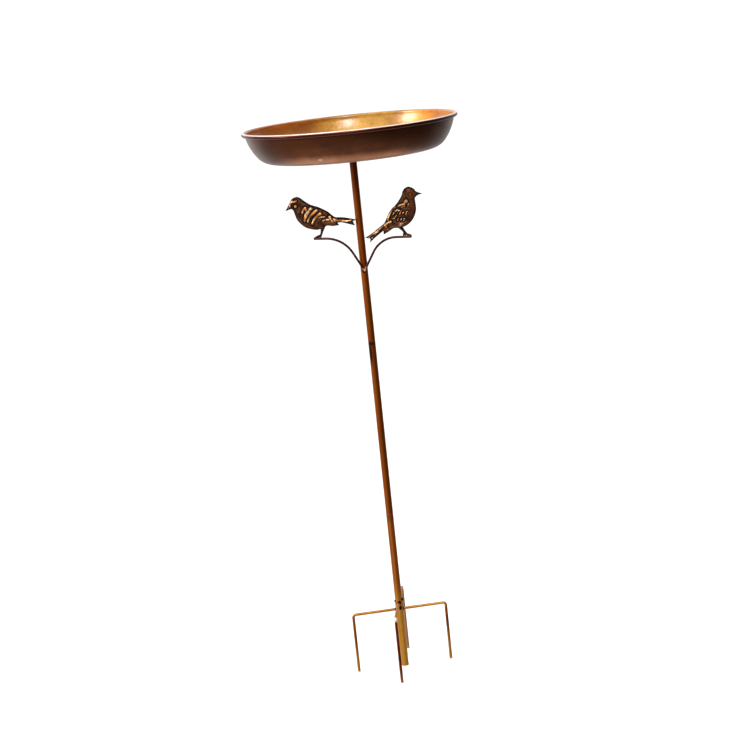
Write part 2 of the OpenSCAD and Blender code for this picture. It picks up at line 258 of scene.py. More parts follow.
def rod_material(name, worn_below, top_lit_above, browns):
    """Lacquered fork rod: the crossbar painted golden as lit from above, a painted highlight at the front
    bend, the prongs brown down to worn tips.
    """
    n = Surface(name)
    drift = n.noise(n.coords(scale=(28, 28, 34)), 1.0, 3.0)
    fine = n.noise(n.coords(scale=(700, 700, 700)), 1.0, 4.0)
    height = n.math("ADD", n.axis("Z"), n.math("MULTIPLY", drift, 0.02))
    # painted top light: golden on the crossbar above this height
    top_lit_crossbar = n.ramp(height, top_lit_above, top_lit_above + TOP_LIT_FADE)
    tip = n.ramp(height, worn_below, worn_below + WORN_FADE, 1.0, 0.0)
    bar = n.mix(n.ramp(drift, 0.4, 0.6), (0.42, 0.16, 0.018), (0.52, 0.25, 0.05))
    prong = n.mix(n.ramp(drift, 0.4, 0.65), *browns)
    prong = n.mix(n.ramp(n.axis("Y"), *PALE_BACK_PRONG), prong, (0.52, 0.25, 0.12))
    colour = n.mix(tip, prong, (0.50, 0.22, 0.020))
    colour = n.mix(top_lit_crossbar, colour, bar)
    # painted highlight, near white, at the front rod's bend
    colour = n.mix(n.spot(*FRONT_BEND_HIGHLIGHT), colour, (1.0, 0.88, 0.74))
    colour = n.mix(n.ramp(fine, 0.58, 0.75, 0.0, 0.5), colour, (0.05, 0.014, 0.006))
    n.bump(fine, 0.12, 0.0003)
    return n.finish(colour, n.ramp(fine, 0.3, 0.7, 0.30, 0.48), metallic=0.85)


def perch_material():
    """Dark red-brown lacquer on the perch wire, the birds' legs and the dish's boss, with a painted
    highlight at the wire's vertex.
    """
    n = Surface("perch_bronze")
    drift = n.noise(n.coords(scale=(70, 70, 70)), 1.0, 3.0)
    fine = n.noise(n.coords(scale=(800, 800, 800)), 1.0, 4.0)
    colour = n.mix(n.ramp(drift, 0.5, 0.72), (0.045, 0.007, 0.005), (0.13, 0.030, 0.018))
    # painted highlight, pale copper, at the perch wire's vertex
    colour = n.mix(n.spot(tuple(PERCH), (5, 5, 7)), colour, (0.72, 0.34, 0.14))
    n.bump(fine, 0.15, 0.0003)
    return n.finish(colour, n.ramp(drift, 0.3, 0.7, 0.30, 0.46), coat=0.2)


def weld_material():
    """Burnt, lumpy weld metal under the lacquer."""
    n = Surface("weld_bronze")
    lumps = n.noise(n.coords(scale=(420, 420, 420)), 1.0, 5.0, 0.65)
    colour = n.mix(n.ramp(lumps, 0.56, 0.72), (0.008, 0.004, 0.004), (0.16, 0.06, 0.02))
    n.bump(lumps, 0.6, 0.0008)
    return n.finish(colour, n.ramp(lumps, 0.3, 0.7, 0.34, 0.6))


def dish_outside_material():
    """Dark bronze patina, with a painted reflection of the floor paler on the bend at the front, and spun
    marks round the wall.
    """
    n = Surface("dish_bronze")
    marks = n.noise(n.coords("UV", scale=(14, 260, 1)), 1.0, 4.0)
    cloud = n.noise(n.coords("UV", scale=(7, 2.6, 1)), 1.0, 6.0, 0.62)
    height = n.math("ADD", n.axis("Z"), n.math("MULTIPLY", cloud, 0.006))
    # painted reflection of the floor: a warm band low on the bend, across the front middle
    left = n.ramp(n.axis("X"), -0.105, -0.06)
    right = n.ramp(n.axis("X"), 0.04, 0.10, 1.0, 0.15)
    middle = n.math("MULTIPLY", left, right)
    low = n.math("MULTIPLY", n.ramp(height, *FLOOR_REFLECTION_BEND, 1.0, 0.0), middle)
    under_lip = n.ramp(n.axis("Z"), *LIP_SHADE)
    dark = n.mix(n.ramp(cloud, 0.36, 0.64), (0.118, 0.038, 0.015), (0.054, 0.019, 0.010))
    floor_reflection = n.mix(n.ramp(cloud, 0.35, 0.65), (0.38, 0.175, 0.095), (0.25, 0.100, 0.045))
    colour = n.mix(low, dark, floor_reflection)
    colour = n.mix(n.ramp(marks, 0.55, 0.8, 0.0, 0.35), colour, (0.20, 0.075, 0.028))
    for centre, radii in DISH_STAINS:
        stain = n.math("MULTIPLY", n.spot(centre, radii, 0.9), 0.5)
        colour = n.mix(stain, colour, (0.022, 0.022, 0.014))
    colour = n.mix(n.math("MULTIPLY", n.spot(*DISH_VERDIGRIS), 0.6), colour, (0.50, 0.48, 0.36))
    colour = n.mix(under_lip, colour, (0.072, 0.018, 0.010))
    n.bump(marks, 0.07, 0.0006)
    return n.finish(colour, n.ramp(cloud, 0.3, 0.7, 0.28, 0.42))


def dish_inside_material():
    """Golden copper inside the bowl, rustier towards the leaning bird, under clear lacquer."""
    n = Surface("dish_gold")
    cloud = n.noise(n.coords(scale=(26, 26, 40)), 1.0, 6.0, 0.64)
    fine = n.noise(n.coords(scale=(420, 420, 420)), 1.0, 4.0)
    marks = n.noise(n.coords("UV", scale=(10, 300, 1)), 1.0, 3.0)
    gold = n.mix(n.ramp(cloud, 0.40, 0.60), (0.56, 0.29, 0.030), (0.36, 0.150, 0.006))
    rust = n.mix(n.ramp(cloud, 0.35, 0.68), (0.64, 0.215, 0.002), (0.47, 0.115, 0.001))
    amber = n.mix(n.ramp(cloud, 0.40, 0.62), (0.72, 0.27, 0.010), (0.56, 0.165, 0.004))
    colour = n.mix(n.ramp(n.axis("X"), -0.10, 0.0), rust, gold)
    colour = n.mix(n.ramp(n.axis("X"), 0.075, 0.115), colour, amber)
    colour = n.mix(n.ramp(fine, 0.56, 0.72, 0.0, 0.45), colour, (0.20, 0.055, 0.005))
    n.bump(marks, 0.06, 0.0005)
    return n.finish(colour, n.ramp(fine, 0.3, 0.7, 0.44, 0.60), coat=1.0)


def lip_highlight_material():
    """Bright pinkish copper on the rolled lip's crown, a painted highlight."""
    n = Surface("lip_highlight_copper")
    sheen_noise = n.noise(n.coords("UV", scale=(30, 3, 1)), 1.0, 4.0)
    colour = n.mix(n.ramp(sheen_noise, 0.4, 0.7), (1.0, 0.86, 0.77), (0.96, 0.64, 0.50))
    n.bump(sheen_noise, 0.05, 0.0004)
    return n.finish(colour, n.ramp(sheen_noise, 0.3, 0.7, 0.20, 0.32))


def bird_material():
    """Antique copper on the birds: black in the recesses, gold and pink where the relief is rubbed, with
    pale painted glints, and painted shade along the outline.
    """
    n = Surface("bird_copper")
    shine = n.attribute("shine")
    cloud = n.noise(n.coords(scale=(150, 150, 150)), 1.0, 3.0)
    fine = n.noise(n.coords(scale=(900, 900, 900)), 1.0, 4.0)
    glint = n.noise(n.coords(scale=(420, 420, 420)), 1.0, 2.0)
    brown = n.mix(n.ramp(cloud, 0.38, 0.66), (0.118, 0.032, 0.005), (0.020, 0.004, 0.003))
    gold = n.mix(n.ramp(glint, 0.38, 0.54), (1.0, 0.70, 0.40), (0.78, 0.27, 0.04))
    colour = n.mix(n.ramp(shine, 0.15, 0.75), brown, gold)
    colour = n.mix(n.ramp(shine, -0.5, 0.0, 1.0, 0.0), colour, (0.007, 0.004, 0.003))
    # painted shade along the birds' outline
    colour = n.mix(n.attribute("edge"), colour, (0.012, 0.003, 0.004))
    n.bump(fine, 0.10, 0.0003)
    return n.finish(colour, n.ramp(shine, 0.0, 0.8, 0.46, 0.30), metallic=0.72)


def zinc_material():
    """Bright zinc plate on the hidden threaded and sliding steel parts."""
    n = Surface("zinc_steel")
    spangle = n.noise(n.coords(scale=(300, 300, 60)), 1.0, 3.0)
    colour = n.mix(spangle, (0.60, 0.61, 0.64), (0.76, 0.77, 0.79))
    n.bump(spangle, 0.05, 0.0002)
    return n.finish(colour, n.ramp(spangle, 0.3, 0.7, 0.24, 0.38))


def rubber_material():
    """Matt black rubber washer."""
    n = Surface("black_rubber")
    grain = n.noise(n.coords(scale=(1500, 1500, 1500)), 1.0, 3.0)
    colour = n.mix(grain, (0.012, 0.012, 0.012), (0.030, 0.030, 0.030))
    n.bump(grain, 0.2, 0.0002)
    return n.finish(colour, n.ramp(grain, 0.3, 0.7, 0.6, 0.8), metallic=0.0)


def floor_material():
    """Plain pale studio floor."""
    n = Surface("studio_floor")
    grain = n.noise(n.coords(scale=(2, 2, 2)), 1.0, 2.0)
    colour = n.mix(grain, (0.90, 0.90, 0.90), (0.92, 0.92, 0.92))
    return n.finish(colour, n.ramp(grain, 0.3, 0.7, 0.8, 0.9), metallic=0.0)


# ---------------------------------------------------------------- mesh helpers


def new_piece(name, points, faces, materials, smooth=True):
    """A mesh object from points in millimetres in the row frame."""
    mesh = bpy.data.meshes.new(name)
    mesh.from_pydata([tuple(c * MM for c in p) for p in points], [], faces)
    for material in materials:
        mesh.materials.append(material)
    mesh.validate()
    mesh.update()
    if smooth:
        mesh.shade_smooth()
    piece = bpy.data.objects.new(name, mesh)
    bpy.context.scene.collection.objects.link(piece)
    return piece


def settle(piece, body, slot, *nodes):
    """Puts a finished piece on its body, in place of its CAD nodes; the slot argument is not used."""
    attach(piece, body)
    if nodes:
        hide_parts(*nodes)
    return piece


def arc(centre, radius, start, end, steps):
    """Points on an arc, with angles in radians."""
    angles = np.linspace(start, end, steps + 1)
    return [(centre[0] + radius * math.cos(a), centre[1] + radius * math.sin(a)) for a in angles]


def lathe(name, profile, sides, materials, zone_of=None, wobble=None):
    """A closed solid of revolution about the pole's axis, with UVs: U round it, V along the profile.

    profile is a closed loop of (radius, height). zone_of(k) gives the material index of the profile's
    k-th stretch, and wobble(angle, radius, height) an outward push in millimetres.
    """
    rows = len(profile)
    points = []
    for i in range(sides):
        a = 2 * math.pi * i / sides
        for r, z in profile:
            push = wobble(a, r, z) if wobble else 0.0
            points.append(((r + push) * math.cos(a), (r + push) * math.sin(a), z))
    faces, zones, corners = [], [], []
    run = np.cumsum([0.0] + [math.dist(profile[k], profile[(k + 1) % rows]) for k in range(rows)])
    run /= run[-1]
    for i in range(sides):
        j = (i + 1) % sides
        for k in range(rows):
            m = (k + 1) % rows
            faces.append((i * rows + k, j * rows + k, j * rows + m, i * rows + m))
            zones.append(zone_of(k) if zone_of else 0)
            u0, u1 = i / sides, (i + 1) / sides
            corners += [(u0, run[k]), (u1, run[k]), (u1, run[k + 1]), (u0, run[k + 1])]
    piece = new_piece(name, points, faces, materials)
    uv = piece.data.uv_layers.new(name="UVMap")
    uv.data.foreach_set("uv", np.array(corners, np.float32).ravel())
    piece.data.polygons.foreach_set("material_index", zones)
    return piece


def sharpen(piece, degrees=35):
    """Keeps edges steeper than this crisp while the rest shades smooth."""
    piece.data.set_sharp_from_angle(angle=math.radians(degrees))


def sweep(name, path, radii, sides, material):
    """A round bar along a path, closed flat at each end. Radii are per point."""
    path = [Vector(p) for p in path]
    points, faces = [], []
    side = None
    for k, place in enumerate(path):
        ahead = path[min(k + 1, len(path) - 1)] - path[max(k - 1, 0)]
        ahead.normalize()
        if side is None:
            side = ahead.orthogonal().normalized()
        side = (side - ahead * side.dot(ahead)).normalized()
        other = ahead.cross(side)
        for i in range(sides):
            a = 2 * math.pi * i / sides
            points.append(place + (side * math.cos(a) + other * math.sin(a)) * radii[k])
    for k in range(len(path) - 1):
        for i in range(sides):
            j = (i + 1) % sides
            here, there = k * sides, (k + 1) * sides
            faces.append((here + i, here + j, there + j, there + i))
    faces.append(tuple(reversed(range(sides))))
    faces.append(tuple(range((len(path) - 1) * sides, len(path) * sides)))
    return new_piece(name, points, faces, [material])


def rounded_ends(path, radius, steps=5):
    """Adds a domed nose inside both ends of a path. Returns the path and its radii."""
    path = [Vector(p) for p in path]
    noses = []
    for end, inner in ((path[0], path[1]), (path[-1], path[-2])):
        inward = (inner - end).normalized()
        angles = [math.radians(5) + math.pi / 2 * s / steps for s in range(steps)]
        noses.append([(end + inward * radius * (1 - math.cos(math.pi / 2 - a)), radius * math.sin(a))
                      for a in angles])
    start, finish = noses
    points = [p for p, _ in start] + path[1:-1] + [p for p, _ in reversed(finish)]
    radii = [r for _, r in start] + [radius] * (len(path) - 2) + [r for _, r in reversed(finish)]
    return points, radii


def joined(name, pieces):
    """Joins several mesh pieces that share their materials into one."""
    points, faces = [], []
    for piece in pieces:
        offset = len(points)
        points += [v.co / MM for v in piece.data.vertices]
        faces += [tuple(offset + i for i in f.vertices) for f in piece.data.polygons]
    materials = list(pieces[0].data.materials)
    for piece in pieces:
        bpy.data.objects.remove(piece)
    return new_piece(name, points, faces, materials)


# ---------------------------------------------------------------- dish


def dish_profile():
    """The dish's closed section, and the first and last stretch of the lip's crown, which carries a
    painted highlight.
    """
    lip = (DISH_R - LIP_R, DISH_Z + DISH_H - LIP_R)
    hollow_r = LIP_R - DISH_SHEET
    rise = DISH_H - LIP_R - LIP_NECK - FLOOR_BEND_R * (1 - math.cos(BEND_TURN))
    slope = math.acos(math.cos(BEND_TURN) - rise / WALL_BOW_R)
    floor_r = (lip[0] - hollow_r) - FLOOR_BEND_R * math.sin(BEND_TURN)
    floor_r -= WALL_BOW_R * (math.sin(slope) - math.sin(BEND_TURN))
    bend = (floor_r, DISH_Z + FLOOR_BEND_R)
    shift = WALL_BOW_R - FLOOR_BEND_R
    bow = (bend[0] - shift * math.sin(BEND_TURN), bend[1] + shift * math.cos(BEND_TURN))
    quarter = math.pi / 2
    curl_end = math.radians(-110)
    rings = list(np.linspace(0.05, floor_r, 14, endpoint=False))
    outside = [(r, DISH_Z) for r in rings]
    outside += arc(bend, FLOOR_BEND_R, -quarter, BEND_TURN - quarter, 14)[:-1]
    outside += arc(bow, WALL_BOW_R, BEND_TURN - quarter, slope - quarter, 16)
    under_lip = arc(lip, hollow_r, math.pi, curl_end, 24)
    over_lip = arc(lip, LIP_R, curl_end, math.pi, 36)
    inside = arc(bow, WALL_BOW_R - DISH_SHEET, slope - quarter, BEND_TURN - quarter, 16)[:-1]
    inside += arc(bend, FLOOR_BEND_R - DISH_SHEET, BEND_TURN - quarter, -quarter, 14)
    inside += [(r, DISH_Z + DISH_SHEET) for r in reversed(rings)]
    crown_start = len(outside) + len(under_lip) + CROWN[0]
    crown_end = crown_start + CROWN[1]
    return outside + under_lip + over_lip + inside, crown_start, crown_end


def make_dish():
    profile, crown_start, crown_end = dish_profile()

    def zone_of(k):
        """Dark outside up to the lip's crown, a pale copper painted highlight on the crown, gold inside.
        """
        if k < crown_start:
            return 0
        return 2 if k < crown_end else 1

    def wobble(a, r, z):
        """The hand-finished edge is never quite true."""
        lift = max(0.0, (z - DISH_Z) / DISH_H)
        return -EDGE_WOBBLE * lift * (1 + math.sin(3 * a + 0.7) * math.sin(7 * a))

    materials = [dish_outside_material(), dish_inside_material(), lip_highlight_material()]
    dish = lathe("spun_dish", profile, 288, materials, zone_of, wobble)
    settle(dish, "dish_top", "dish_copper", "dish")


# ---------------------------------------------------------------- pole


def tube_profile(z0, z1, swell=None):
    """A tube's closed section, rings close enough to carry small dents, with softly broken edges."""
    c = TUBE_CHAMFER
    low = arc((POLE_R - c, z0 + c), c, -math.pi / 2, 0, 4)
    high = arc((POLE_R - c, z1 - c), c, 0, math.pi / 2, 4)
    middle = swell or [(POLE_R, z) for z in np.linspace(z0 + 3, z1 - 3, 24)]
    return [(BORE_R, z0)] + low + middle + high + [(BORE_R, z1)]


def make_pole(material, stake):
    upper = lathe("upper_tube", tube_profile(UPPER_JOINT_Z, POLE_TOP_Z), 64, [material])
    middle = lathe("middle_tube", tube_profile(LOWER_JOINT_Z, UPPER_JOINT_Z), 64, [material])
    step = 1.2
    swell = [(POLE_R, z) for z in np.linspace(3 - SPIKE_LENGTH, -0.2, 10)]
    swell += [(SWELL_R, step), (SWELL_R, SWELL_H - step), (POLE_R, SWELL_H + 0.2)]
    swell += [(POLE_R, z) for z in np.linspace(SWELL_H + 4, LOWER_JOINT_Z - 3, 12)]
    lower = lathe("lower_tube", tube_profile(-SPIKE_LENGTH, LOWER_JOINT_Z, swell), 64, [stake])
    for tube in (upper, middle, lower):
        sharpen(tube)
    settle(upper, "upper_section", "pole_copper", "upper_pole")
    settle(middle, "middle_section", "pole_copper", "middle_pole")
    settle(lower, "ground_stake", "pole_copper", "lower_pole")


# ---------------------------------------------------------------- ground fork


def fork_path(z, turn, prong_x, **_):
    """The centre line of one fork rod, tip to tip, in the row frame."""
    bend_x, bend_z = prong_x - ROD_BEND_R, z - ROD_BEND_R
    half = [(prong_x, h) for h in np.linspace(-SPIKE_LENGTH, bend_z, 22, endpoint=False)]
    half += arc((bend_x, bend_z), ROD_BEND_R, 0, math.pi / 2, 10)
    half += [(x, z) for x in np.linspace(bend_x - 3, 0, 16)]
    whole = half + [(-x, h) for x, h in reversed(half[:-1])]
    turned = Matrix.Rotation(math.radians(turn), 3, "Z")
    return [turned @ Vector((x, 0, h)) for x, h in whole]


def make_fork():
    for name, node, rod, wear_and_light in (
        ("side_fork_rod", "side_rod", SIDE_ROD, SIDE_ROD_WEAR_AND_LIGHT),
        ("front_fork_rod", "front_rod", FRONT_ROD, FRONT_ROD_WEAR_AND_LIGHT),
    ):
        path, radii = rounded_ends(fork_path(**rod), ROD_R)
        material = rod_material(name + "_bronze", **wear_and_light)
        bar = sweep(name, path, radii, 24, material)
        settle(bar, "ground_stake", "wire_bronze", node)


def blob(name, centre, stretch, material, seed):
    """A weld bead: a sphere pushed in and out by smooth waves, slumped along Z."""
    waves = np.random.default_rng(seed).uniform(-1, 1, (6, 3)) * 3.2
    rings, sides = 18, 28
    points, faces = [], []
    for i in range(rings + 1):
        tilt = math.pi * i / rings
        for k in range(sides):
            a = 2 * math.pi * k / sides
            d = Vector((math.sin(tilt) * math.cos(a), math.sin(tilt) * math.sin(a), math.cos(tilt)))
            push = 1 + 0.05 * sum(math.sin(Vector(w).dot(d) * 1.6 + j) for j, w in enumerate(waves))
            reach = Vector((d.x * stretch[0], d.y * stretch[1], d.z * stretch[2]))
            points.append(Vector(centre) + reach * push)
    for i in range(rings):
        for k in range(sides):
            m = (k + 1) % sides
            faces.append((i * sides + k, (i + 1) * sides + k, (i + 1) * sides + m, i * sides + m))
    return new_piece(name, points, faces, [material])


def make_fork_welds(material):
    beads = []
    for rod in (SIDE_ROD, FRONT_ROD):
        for half_turn in (0, 180):
            a = math.radians(rod["turn"] + half_turn)
            centre = (math.cos(a) * SWELL_R, math.sin(a) * SWELL_R, rod["z"])
            beads.append(blob("bead", centre, rod["bead"], material, len(beads)))
    for centre, stretch in WELD_SPATTER:
        beads.append(blob("spatter", centre, stretch, material, len(beads)))
    settle(joined("fork_beads", beads), "ground_stake", "weld_bronze", "fork_welds")


# ---------------------------------------------------------------- perch


def arm_path(side, slope, run_slope, rise, bend_r, run):
    """One perch arm from the weld outwards: a straight, a bend and an outer run."""
    s, t = math.radians(slope), math.radians(run_slope)
    straight = (rise - bend_r * (math.cos(t) - math.cos(s))) / math.sin(s)
    bend_from = (straight * math.cos(s), straight * math.sin(s))
    centre = (bend_from[0] + bend_r * math.sin(s), bend_from[1] - bend_r * math.cos(s))
    flat = [(bend_from[0] * f, bend_from[1] * f) for f in np.linspace(0, 1, 8, endpoint=False)]
    flat += arc(centre, bend_r, math.pi / 2 + s, math.pi / 2 + t, 24)
    end = flat[-1]
    flat += [(end[0] + run * f * math.cos(t), end[1] + run * f * math.sin(t))
             for f in np.linspace(0.1, 1, 10)]
    return [PERCH + Vector((side * x, 0, z)) for x, z in flat]


def make_perch(material, weld):
    right = arm_path(1, **RIGHT_ARM)
    left = arm_path(-1, **LEFT_ARM)
    path, radii = rounded_ends(list(reversed(left)) + right[1:], WIRE_R)
    wire = sweep("perch_wire_bar", path, radii, 20, material)
    settle(wire, "upper_section", "wire_bronze", "perch_wire")
    centre = PERCH + Vector(PERCH_BEAD["offset"])
    lump = blob("perch_bead", centre, PERCH_BEAD["stretch"], weld, PERCH_BEAD["seed"])
    settle(lump, "upper_section", "weld_bronze", "perch_weld")


# ---------------------------------------------------------------- birds

# Outlines run from the beak over the back to the tail, around each bird's feet. A repeated point is sharp.
LEFT_OUTLINE = [
    (-42.4, 41.7), (-42.4, 41.7), (-36, 51), (-32.4, 56.7), (-27, 59.1), (-21.9, 58.2),
    (-13.5, 51.1), (-6.9, 46.5), (1.9, 43), (8.1, 39.4), (14.2, 35.5), (20.2, 29.6),
    (24.5, 26.8), (34.7, 25.5), (51.6, 20.9), (51.6, 20.9), (46.5, 19), (46.5, 19),
    (48.9, 13), (48.9, 13), (41.5, 15.6), (32.1, 18.8), (25.6, 19.4), (25.6, 19.4),
    (27.9, 15.6), (27.9, 15.6), (18.7, 15.4), (11.5, 16.7), (7.3, 14.5), (-0.1, 12.6),
    (-5.3, 12.8), (-11.6, 14.5), (-17.9, 17.4), (-23.2, 22.3), (-27.8, 28.6), (-30.1, 36.2),
    (-31.6, 41.5), (-34.5, 43.6),
]
RIGHT_OUTLINE = [
    (25.8, 56), (25.8, 56), (17.9, 59.6), (15.5, 63.2), (9.1, 67), (3.4, 65.6),
    (-0.3, 61.5), (-1.9, 56.7), (-5.3, 51.4), (-10.9, 44.8), (-17.1, 39.7), (-22.1, 33.5),
    (-26.3, 25.5), (-30.2, 20.4), (-38.6, 15), (-46.5, 9.6), (-56.4, 4.4), (-56.4, 4.4),
    (-49.3, 2.6), (-49.3, 2.6), (-50.8, -2.8), (-50.8, -2.8), (-42.5, 3.6), (-31.1, 11.4),
    (-31.1, 11.4), (-31, 6.3), (-31, 6.3), (-24, 9.5), (-17.4, 13.3), (-12.4, 13.3),
    (-2.7, 14.1), (5.5, 18.3), (11.8, 25.5), (15.6, 35.3), (15.6, 46.5), (15.5, 51),
    (19.5, 54.4),
]
# Raised feathers and folds: start, end, width and how brightly they are rubbed.
LEFT_RELIEF = [
    ((-15, 43.5), (-19.7, 37.3), 3.8, 1.0), ((-7.6, 42), (-17.8, 26.6), 5.7, 1.0),
    ((-0.2, 39), (-13.7, 25), 4.2, 0.8), ((4, 34), (-8, 21.7), 4.5, 0.9),
    ((10, 29), (0.5, 28.2), 2.7, 0.8), ((14.5, 25), (6.3, 24), 2.7, 1.0),
    ((-37.2, 49.6), (-30.5, 57), 2.6, 0.9), ((-13.5, 41.5), (-16.5, 37.5), 1.6, 0.7),
    ((5.4, 37.3), (8.2, 34.7), 1.7, 0.4), ((11, 33.3), (13.5, 30), 1.7, 0.45),
    ((16.4, 28.4), (19.3, 22.7), 4.2, 0.8), ((22, 25.4), (46, 21.4), 3.8, 0.85),
    ((22, 20.5), (10, 21.3), 3.0, 0.35), ((-36.1, 50.2), (-33.3, 54), 3.4, 1.0),
    ((-33.3, 54), (-25.5, 54.5), 3.8, 1.0), ((-34.8, 48), (-38.2, 45.3), 2.3, 0.6),
    ((-25.4, 38.6), (-21.4, 25.8), 3.0, 0.25), ((19, 25), (27, 21.8), 6.0, 0.48),
]
RIGHT_RELIEF = [
    ((3.2, 48.4), (0, 44), 4.5, 1.0), ((-2.5, 44.4), (-8.6, 42.4), 3.4, 1.0),
    ((6.2, 44.8), (5, 40.3), 1.9, 0.75), ((0.5, 41.4), (-4.2, 40.6), 2.3, 0.7),
    ((-9, 38.4), (-13.7, 35), 2.6, 0.9), ((-6.8, 37.2), (-10.2, 33.2), 1.7, 0.8),
    ((-4.6, 36), (-7, 31), 1.8, 0.9), ((-1.2, 34.3), (-3, 30.8), 1.7, 0.8),
    ((3.2, 34.5), (1, 30), 1.8, 0.9), ((-14, 35), (-16.3, 31.5), 1.9, 0.8),
    ((-14.8, 27), (-18.8, 26.5), 1.9, 0.75), ((-9.6, 26.2), (-10.5, 23.3), 1.9, 0.8),
    ((-5, 26), (-6, 23), 2.1, 0.8), ((-1, 25.3), (-2.6, 22.5), 1.9, 0.75),
    ((-14.5, 21.2), (1.5, 20.6), 2.2, 0.42), ((-11.5, 30.5), (-14.2, 27.6), 1.9, 0.85),
    ((-13.3, 42), (-19.2, 35.5), 3.9, 0.85), ((-19.2, 35.5), (-23.6, 25.3), 4.5, 0.95),
    ((-20.2, 23), (-28.9, 19), 3.4, 1.0), ((-26.5, 20.6), (-40, 11.4), 4.8, 1.0),
    ((-38.5, 12.2), (-51.5, 4.8), 4.4, 1.0), ((-41.2, 8.5), (-47.8, 2.5), 1.8, 0.6),
    ((-12.5, 17.2), (-3.5, 18), 6.4, 0.5), ((-27.5, 19), (-24.2, 12.7), 3.9, 0.45),
    ((-21.3, 15), (-16.4, 17), 1.9, 0.4), ((1.5, 58), (2.8, 51), 2.9, 0.25),
]
FEATHER_BOW = 0.9  # how far a feather bows, beside a straight line
# Each leg: hip, ankle and the tips of its toes, and its distance behind the seam
LEFT_LEGS = [
    ((5.6, 15.5), (2.4, 5), [(-8.2, 1.3), (-3.2, 1.5)], -1.4),
    ((5.2, 15.5), (2.1, 5.2), [(1.2, 1.4), (-1.6, 1.5)], 1.4),
]
RIGHT_LEGS = [
    ((-8.6, 15.5), (-3.2, 6.5), [(-4.6, 1.6), (-2.0, 1.5)], 1.4),
    ((-8.2, 15), (0.2, 3.6), [(6.2, 1.1), (1.2, 1.3)], -1.4),
]
LEG_R = 1.35
THIGH_SWELL = 1.9  # added to the leg's radius at the hip
TOE_RADII = (LEG_R, LEG_R, 1.3, 1.15, 0.85)
KNUCKLE_RISE = 0.4
# Each eye: its place and how brightly it is rubbed
LEFT_EYE = (-27.9, 47, 0.85)
RIGHT_EYE = (10.4, 56, 0.2)
EYE_R = 1.6
EYE_RING_R = 2.9
# A pressed face: its height at the outline, the rise to its middle, and how far in that rise takes
FACE_EDGE = 0.7
FACE_RISE = 3.2
FACE_RUN = 9.0
FEATHER_RISE = 0.9
RECESS_DEPTH = 0.45  # of the groove round a brightly rubbed feather
RECESS_DARKENING = 1.1
PLAIN_SHINE = 0.18  # how brightly the face between the feathers is rubbed
FACE_PITCH = 0.7  # spacing of the points that carry the relief


def smooth_outline(points, steps):
    """A closed smooth curve through the points, sharp where a point is repeated."""
    count = len(points)
    curve = []
    for i in range(count):
        a, b, c, d = (np.array(points[(i + k) % count], float) for k in (-1, 0, 1, 2))
        if np.allclose(b, c):
            continue
        for t in np.arange(steps) / steps:
            straight = 2 * b + (c - a) * t
            curved = (2 * a - 5 * b + 4 * c - d) * t**2 + (3 * b - a - 3 * c + d) * t**3
            curve.append(0.5 * (straight + curved))
    return np.array(curve)


def distance_to_segments(points, starts, ends):
    """Each point's distance to the nearest of the segments."""
    best = np.full(len(points), 1e9)
    for a, b in zip(starts, ends):
        run = b - a
        t = np.clip(((points - a) @ run) / max(run @ run, 1e-9), 0, 1)
        best = np.minimum(best, np.hypot(*(points - a - t[:, None] * run).T))
    return best


def is_inside(points, loop):
    """Which of the points lie inside the closed loop."""
    inside = np.zeros(len(points), bool)
    for a, b in zip(loop, np.roll(loop, -1, axis=0)):
        crosses = (a[1] > points[:, 1]) != (b[1] > points[:, 1])
        rise = (b[1] - a[1]) if b[1] != a[1] else 1e-9
        inside ^= crosses & (points[:, 0] < (b[0] - a[0]) * (points[:, 1] - a[1]) / rise + a[0])
    return inside


def feather_curve(start, end):
    """Points along a feather from its root to its tip, bowed to one side."""
    start, end = np.array(start, float), np.array(end, float)
    sideways = np.array([end[1] - start[1], start[0] - end[0]])
    t = np.linspace(0, 1, 7)[:, None]
    return start + (end - start) * t + sideways * 0.4 * FEATHER_BOW * t * (1 - t)


def press_eye(points, eye, height, shine):
    """The height and shine with the eye's bead and the dark ring round it added."""
    from_eye = np.hypot(*(points - np.array(eye[:2], float)).T)
    ring = np.exp(-((from_eye - EYE_RING_R) ** 2))
    height = height + 0.7 * np.sqrt(np.clip(1 - (from_eye / EYE_R) ** 2, 0, 1)) - 0.5 * ring
    shine = np.where(from_eye < EYE_R, eye[2], shine) - 1.4 * eye[2] * ring
    return height, shine


